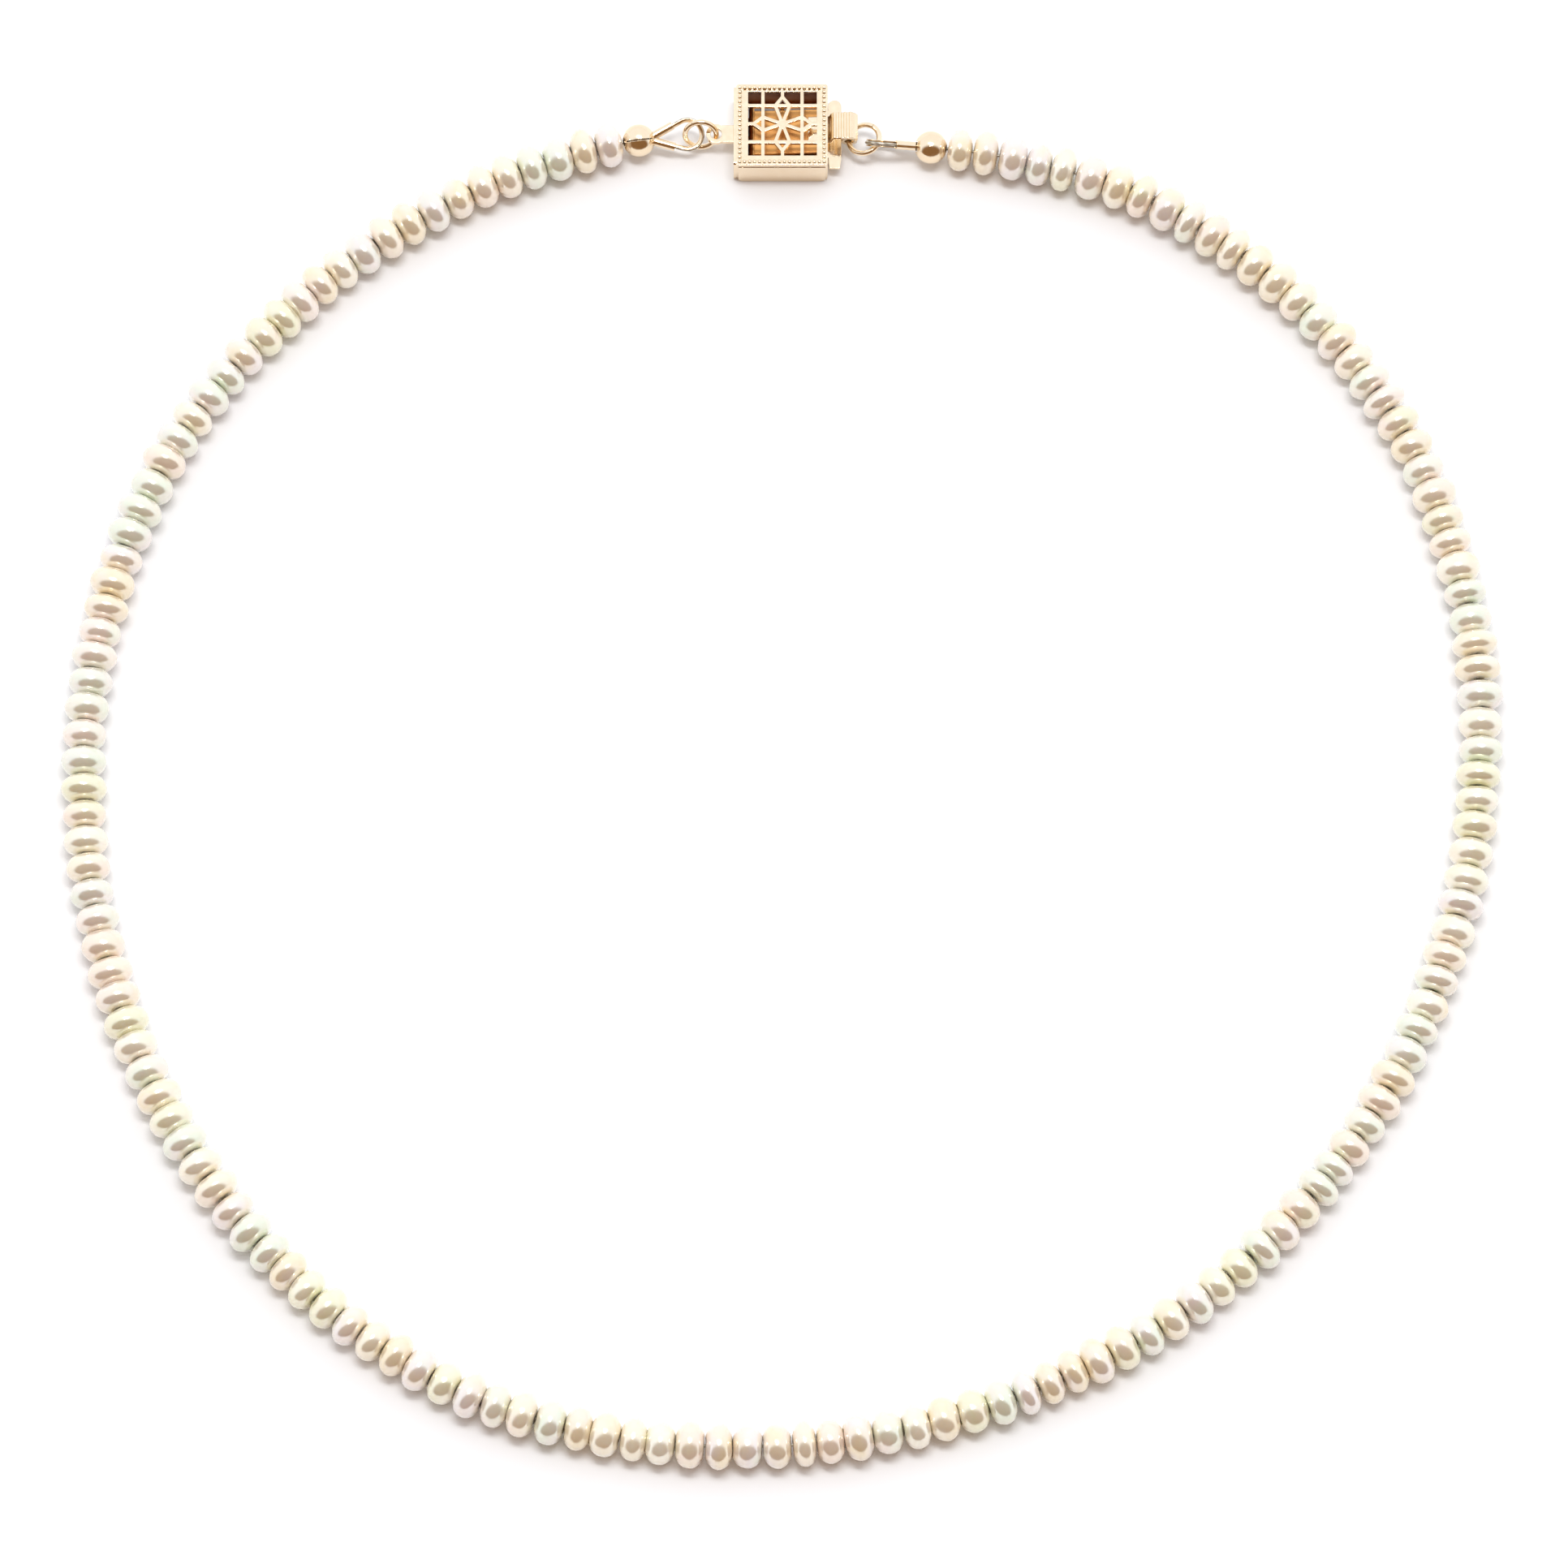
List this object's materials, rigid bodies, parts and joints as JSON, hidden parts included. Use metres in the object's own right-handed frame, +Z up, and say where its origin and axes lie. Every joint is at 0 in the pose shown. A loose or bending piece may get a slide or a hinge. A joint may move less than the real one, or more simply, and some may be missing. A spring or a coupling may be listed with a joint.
{
  "type": "pearl necklace",
  "caption": "Single strand of small white button pearls closed in a loop by a square gold filigree box clasp with a ribbed thumb tab.",
  "frame": {"origin": "middle of the closed loop in plan, on the surface that the necklace lies on", "axes": "+Z up from the surface; +X from the clasp's box towards its tongue; +Y from the front of the strand towards the clasp"},
  "size_m": [0.1337, 0.134, 0.0045],
  "materials": {
    "pearl": "smooth nacre with a soft orient, near-white with a cream rim",
    "gold": "polished 14 karat yellow gold",
    "beading_wire": "stranded steel beading wire with a clear nylon coat"
  },
  "bodies": {
    "strand_front": {"pearls_front": "pearl", "wire_front": "beading_wire", "pearls_left_1": "pearl", "wire_left_1": "beading_wire", "pearls_right_1": "pearl", "wire_right_1": "beading_wire"},
    "strand_left_fore": {"pearls_left_2": "pearl", "wire_left_2": "beading_wire", "pearls_left_3": "pearl", "wire_left_3": "beading_wire", "pearls_left_4": "pearl", "wire_left_4": "beading_wire"},
    "strand_left_side": {"pearls_left_5": "pearl", "wire_left_5": "beading_wire", "pearls_left_6": "pearl", "wire_left_6": "beading_wire", "pearls_left_7": "pearl", "wire_left_7": "beading_wire"},
    "strand_left_back": {"pearls_left_8": "pearl", "wire_left_8": "beading_wire", "pearls_left_9": "pearl", "wire_left_9": "beading_wire", "pearls_left_10": "pearl", "wire_left_10": "beading_wire"},
    "strand_right_fore": {"pearls_right_2": "pearl", "wire_right_2": "beading_wire", "pearls_right_3": "pearl", "wire_right_3": "beading_wire", "pearls_right_4": "pearl", "wire_right_4": "beading_wire"},
    "strand_right_side": {"pearls_right_5": "pearl", "wire_right_5": "beading_wire", "pearls_right_6": "pearl", "wire_right_6": "beading_wire", "pearls_right_7": "pearl", "wire_right_7": "beading_wire"},
    "strand_right_back": {"pearls_right_8": "pearl", "wire_right_8": "beading_wire", "pearls_right_9": "pearl", "wire_right_9": "beading_wire", "pearls_right_10": "pearl", "wire_right_10": "beading_wire"},
    "strand_end_left": {"wire_guard_left": "gold", "crimp_cover_left": "gold", "crimp_tube_left": "gold", "wire_loop_left": "beading_wire"},
    "jump_ring_left": {"jump_ring_left": "gold"},
    "clasp_box": {"filigree_top": "gold", "filigree_bottom": "gold", "box_walls": "gold", "box_end_tab": "gold"},
    "tongue": {"tongue_base": "gold", "tongue_end_loop": "gold"},
    "tongue_spring": {"tongue_leaf": "gold", "thumb_tab": "gold"},
    "jump_ring_right": {"jump_ring_right": "gold"},
    "strand_end_right": {"wire_guard_right": "gold", "crimp_cover_right": "gold", "crimp_tube_right": "gold", "wire_loop_right": "beading_wire"}
  },
  "joints": [
    {"name": "clasp_slide", "type": "slide", "parent": "clasp_box", "child": "tongue", "axis": [1, 0, 0], "range_m": [0, 0.04]},
    {"name": "left_fore_flex", "type": "hinge", "parent": "strand_front", "child": "strand_left_fore", "pos_m": [-0.02697, -0.06053, 0.00214], "axis": [0, 0, 1], "range_deg": [-0.1, 8.4]},
    {"name": "left_side_flex", "type": "hinge", "parent": "strand_left_fore", "child": "strand_left_side", "pos_m": [-0.06122, -0.02125, 0.00214], "axis": [0, 0, 1], "range_deg": [-0.1, 2.9]},
    {"name": "left_back_flex", "type": "hinge", "parent": "strand_left_side", "child": "strand_left_back", "pos_m": [-0.05712, 0.03095, 0.00214], "axis": [0, 0, 1], "range_deg": [-3.5, 0.1]},
    {"name": "left_end_hinge", "type": "hinge", "parent": "strand_left_back", "child": "strand_end_left", "pos_m": [-0.01509, 0.06195, 0.00214], "axis": [0, 0, 1], "range_deg": [-4.4, 0.1]},
    {"name": "clasp_hinge", "type": "hinge", "parent": "strand_end_left", "child": "clasp_box", "pos_m": [-0.00914, 0.06277, 0.00214], "axis": [0, 0, 1], "range_deg": [-3.5, 0.1]},
    {"name": "right_fore_flex", "type": "hinge", "parent": "strand_front", "child": "strand_right_fore", "pos_m": [0.02531, -0.05833, 0.00214], "axis": [0, 0, 1], "range_deg": [-8.5, 0.1]},
    {"name": "right_side_flex", "type": "hinge", "parent": "strand_right_fore", "child": "strand_right_side", "pos_m": [0.06051, -0.01977, 0.00214], "axis": [0, 0, 1], "range_deg": [-2.4, 0.1]},
    {"name": "right_back_flex", "type": "hinge", "parent": "strand_right_side", "child": "strand_right_back", "pos_m": [0.05839, 0.0325, 0.00214], "axis": [0, 0, 1], "range_deg": [-0.1, 1.9]},
    {"name": "right_end_hinge", "type": "hinge", "parent": "strand_right_back", "child": "strand_end_right", "pos_m": [0.01574, 0.06131, 0.00214], "axis": [0, 0, 1], "range_deg": [-0.1, 9]},
    {"name": "tongue_press", "type": "hinge", "parent": "tongue", "child": "tongue_spring", "pos_m": [-0.00258, 0.06296, 0.00195], "axis": [0, -1, 0], "range_deg": [-4, 4.2], "stiffness_Nm_per_rad": 0.002, "springref_deg": 4.2},
    {"name": "left_ring_swing", "type": "hinge", "parent": "clasp_box", "child": "jump_ring_left", "pos_m": [-0.00618, 0.06277, 0.00214], "axis": [0, 1, 0], "range_deg": [-3, 3]},
    {"name": "right_ring_swing", "type": "hinge", "parent": "tongue", "child": "jump_ring_right", "pos_m": [0.00642, 0.06266, 0.0016], "axis": [0, 1, 0], "range_deg": [-6, 6]}
  ],
  "couplings": [
    {"joint": "left_fore_flex", "follows": "clasp_slide", "rad_per_m": 3.6207},
    {"joint": "left_side_flex", "follows": "clasp_slide", "rad_per_m": 1.2222},
    {"joint": "left_back_flex", "follows": "clasp_slide", "rad_per_m": -1.4946},
    {"joint": "left_end_hinge", "follows": "clasp_slide", "rad_per_m": -1.8776},
    {"joint": "clasp_hinge", "follows": "clasp_slide", "rad_per_m": -1.4707},
    {"joint": "right_fore_flex", "follows": "clasp_slide", "rad_per_m": -3.6804},
    {"joint": "right_side_flex", "follows": "clasp_slide", "rad_per_m": -0.99339},
    {"joint": "right_back_flex", "follows": "clasp_slide", "rad_per_m": 0.80108},
    {"joint": "right_end_hinge", "follows": "clasp_slide", "rad_per_m": 3.8727}
  ]
}
